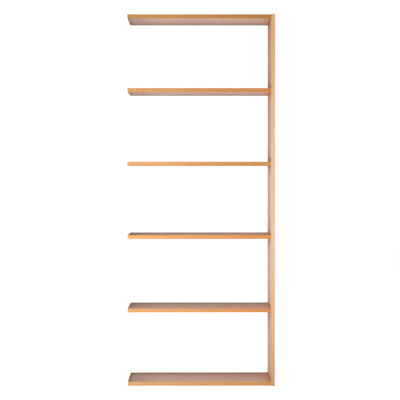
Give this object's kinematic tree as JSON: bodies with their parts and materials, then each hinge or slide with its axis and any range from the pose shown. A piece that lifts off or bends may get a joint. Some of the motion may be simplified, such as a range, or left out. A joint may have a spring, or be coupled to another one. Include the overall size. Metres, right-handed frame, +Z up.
{
  "type": "open shelving bay",
  "caption": "Add-on bay of open shelving in oak-veneered board: an upright carries full-depth shelves from its inner face, and their free ends join the bay beside it.",
  "frame": {"origin": "on the floor, under the middle of the bay's box", "axes": "+X to the right, towards the upright; the front faces -Y; +Z up"},
  "size_m": [0.7932, 0.285, 2],
  "materials": {
    "oak_veneer": "open-pored oak veneer, matt lacquer",
    "oak_lipping": "oak edge, matt lacquer",
    "chipboard": "raw chipboard",
    "zinc": "die-cast zinc, dull",
    "steel": "bright zinc-plated steel",
    "brass": "turned brass",
    "beech": "raw beech",
    "cap_plastic": "fine matt, oak-coloured"
  },
  "bodies": {
    "bay": {"upright_core": "chipboard", "upright_inner_veneer": "oak_veneer", "upright_outer_veneer": "oak_veneer", "upright_front_lipping": "oak_lipping", "upright_back_lipping": "oak_lipping", "upright_top_lipping": "oak_lipping", "upright_bottom_lipping": "oak_lipping", "shelf_1_core": "chipboard", "shelf_1_veneers": "oak_veneer", "shelf_1_lippings": "oak_lipping", "shelf_2_core": "chipboard", "shelf_2_veneers": "oak_veneer", "shelf_2_lippings": "oak_lipping", "shelf_3_core": "chipboard", "shelf_3_veneers": "oak_veneer", "shelf_3_lippings": "oak_lipping", "shelf_4_core": "chipboard", "shelf_4_veneers": "oak_veneer", "shelf_4_lippings": "oak_lipping", "shelf_5_core": "chipboard", "shelf_5_veneers": "oak_veneer", "shelf_5_lippings": "oak_lipping", "shelf_6_core": "chipboard", "shelf_6_veneers": "oak_veneer", "shelf_6_lippings": "oak_lipping", "connecting_bolts": "steel", "dowels": "beech", "inner_insert_nuts": "brass", "outer_insert_nuts": "brass", "insert_hole_caps": "cap_plastic", "dowel_hole_caps": "cap_plastic"},
    "cam_1_left_front": {"cam_1_left_front": "zinc"},
    "cam_1_left_back": {"cam_1_left_back": "zinc"},
    "cam_1_right_front": {"cam_1_right_front": "zinc"},
    "cam_1_right_back": {"cam_1_right_back": "zinc"},
    "cam_2_left_front": {"cam_2_left_front": "zinc"},
    "cam_2_left_back": {"cam_2_left_back": "zinc"},
    "cam_2_right_front": {"cam_2_right_front": "zinc"},
    "cam_2_right_back": {"cam_2_right_back": "zinc"},
    "cam_3_left_front": {"cam_3_left_front": "zinc"},
    "cam_3_left_back": {"cam_3_left_back": "zinc"},
    "cam_3_right_front": {"cam_3_right_front": "zinc"},
    "cam_3_right_back": {"cam_3_right_back": "zinc"},
    "cam_4_left_front": {"cam_4_left_front": "zinc"},
    "cam_4_left_back": {"cam_4_left_back": "zinc"},
    "cam_4_right_front": {"cam_4_right_front": "zinc"},
    "cam_4_right_back": {"cam_4_right_back": "zinc"},
    "cam_5_left_front": {"cam_5_left_front": "zinc"},
    "cam_5_left_back": {"cam_5_left_back": "zinc"},
    "cam_5_right_front": {"cam_5_right_front": "zinc"},
    "cam_5_right_back": {"cam_5_right_back": "zinc"},
    "cam_6_left_front": {"cam_6_left_front": "zinc"},
    "cam_6_left_back": {"cam_6_left_back": "zinc"},
    "cam_6_right_front": {"cam_6_right_front": "zinc"},
    "cam_6_right_back": {"cam_6_right_back": "zinc"}
  },
  "joints": [
    {"name": "cam_1_left_front_turn", "type": "hinge", "parent": "bay", "child": "cam_1_left_front", "pos_m": [-0.3626, -0.0895, 0.0035], "axis": [0, 0, 1], "range_deg": [0, 180]},
    {"name": "cam_1_left_back_turn", "type": "hinge", "parent": "bay", "child": "cam_1_left_back", "pos_m": [-0.3626, 0.0895, 0.0035], "axis": [0, 0, 1], "range_deg": [0, 180]},
    {"name": "cam_1_right_front_turn", "type": "hinge", "parent": "bay", "child": "cam_1_right_front", "pos_m": [0.3404, -0.1055, 0.0035], "axis": [0, 0, 1], "range_deg": [-180, 0]},
    {"name": "cam_1_right_back_turn", "type": "hinge", "parent": "bay", "child": "cam_1_right_back", "pos_m": [0.3404, 0.1055, 0.0035], "axis": [0, 0, 1], "range_deg": [-180, 0]},
    {"name": "cam_2_left_front_turn", "type": "hinge", "parent": "bay", "child": "cam_2_left_front", "pos_m": [-0.3626, -0.0895, 0.3979], "axis": [0, 0, 1], "range_deg": [0, 180]},
    {"name": "cam_2_left_back_turn", "type": "hinge", "parent": "bay", "child": "cam_2_left_back", "pos_m": [-0.3626, 0.0895, 0.3979], "axis": [0, 0, 1], "range_deg": [0, 180]},
    {"name": "cam_2_right_front_turn", "type": "hinge", "parent": "bay", "child": "cam_2_right_front", "pos_m": [0.3404, -0.1055, 0.3979], "axis": [0, 0, 1], "range_deg": [-180, 0]},
    {"name": "cam_2_right_back_turn", "type": "hinge", "parent": "bay", "child": "cam_2_right_back", "pos_m": [0.3404, 0.1055, 0.3979], "axis": [0, 0, 1], "range_deg": [-180, 0]},
    {"name": "cam_3_left_front_turn", "type": "hinge", "parent": "bay", "child": "cam_3_left_front", "pos_m": [-0.3626, -0.0895, 0.7923], "axis": [0, 0, 1], "range_deg": [0, 180]},
    {"name": "cam_3_left_back_turn", "type": "hinge", "parent": "bay", "child": "cam_3_left_back", "pos_m": [-0.3626, 0.0895, 0.7923], "axis": [0, 0, 1], "range_deg": [0, 180]},
    {"name": "cam_3_right_front_turn", "type": "hinge", "parent": "bay", "child": "cam_3_right_front", "pos_m": [0.3404, -0.1055, 0.7923], "axis": [0, 0, 1], "range_deg": [-180, 0]},
    {"name": "cam_3_right_back_turn", "type": "hinge", "parent": "bay", "child": "cam_3_right_back", "pos_m": [0.3404, 0.1055, 0.7923], "axis": [0, 0, 1], "range_deg": [-180, 0]},
    {"name": "cam_4_left_front_turn", "type": "hinge", "parent": "bay", "child": "cam_4_left_front", "pos_m": [-0.3626, -0.0895, 1.1867], "axis": [0, 0, 1], "range_deg": [0, 180]},
    {"name": "cam_4_left_back_turn", "type": "hinge", "parent": "bay", "child": "cam_4_left_back", "pos_m": [-0.3626, 0.0895, 1.1867], "axis": [0, 0, 1], "range_deg": [0, 180]},
    {"name": "cam_4_right_front_turn", "type": "hinge", "parent": "bay", "child": "cam_4_right_front", "pos_m": [0.3404, -0.1055, 1.1867], "axis": [0, 0, 1], "range_deg": [-180, 0]},
    {"name": "cam_4_right_back_turn", "type": "hinge", "parent": "bay", "child": "cam_4_right_back", "pos_m": [0.3404, 0.1055, 1.1867], "axis": [0, 0, 1], "range_deg": [-180, 0]},
    {"name": "cam_5_left_front_turn", "type": "hinge", "parent": "bay", "child": "cam_5_left_front", "pos_m": [-0.3626, -0.0895, 1.5811], "axis": [0, 0, 1], "range_deg": [0, 180]},
    {"name": "cam_5_left_back_turn", "type": "hinge", "parent": "bay", "child": "cam_5_left_back", "pos_m": [-0.3626, 0.0895, 1.5811], "axis": [0, 0, 1], "range_deg": [0, 180]},
    {"name": "cam_5_right_front_turn", "type": "hinge", "parent": "bay", "child": "cam_5_right_front", "pos_m": [0.3404, -0.1055, 1.5811], "axis": [0, 0, 1], "range_deg": [-180, 0]},
    {"name": "cam_5_right_back_turn", "type": "hinge", "parent": "bay", "child": "cam_5_right_back", "pos_m": [0.3404, 0.1055, 1.5811], "axis": [0, 0, 1], "range_deg": [-180, 0]},
    {"name": "cam_6_left_front_turn", "type": "hinge", "parent": "bay", "child": "cam_6_left_front", "pos_m": [-0.3626, -0.0895, 1.9755], "axis": [0, 0, 1], "range_deg": [0, 180]},
    {"name": "cam_6_left_back_turn", "type": "hinge", "parent": "bay", "child": "cam_6_left_back", "pos_m": [-0.3626, 0.0895, 1.9755], "axis": [0, 0, 1], "range_deg": [0, 180]},
    {"name": "cam_6_right_front_turn", "type": "hinge", "parent": "bay", "child": "cam_6_right_front", "pos_m": [0.3404, -0.1055, 1.9755], "axis": [0, 0, 1], "range_deg": [-180, 0]},
    {"name": "cam_6_right_back_turn", "type": "hinge", "parent": "bay", "child": "cam_6_right_back", "pos_m": [0.3404, 0.1055, 1.9755], "axis": [0, 0, 1], "range_deg": [-180, 0]}
  ]
}
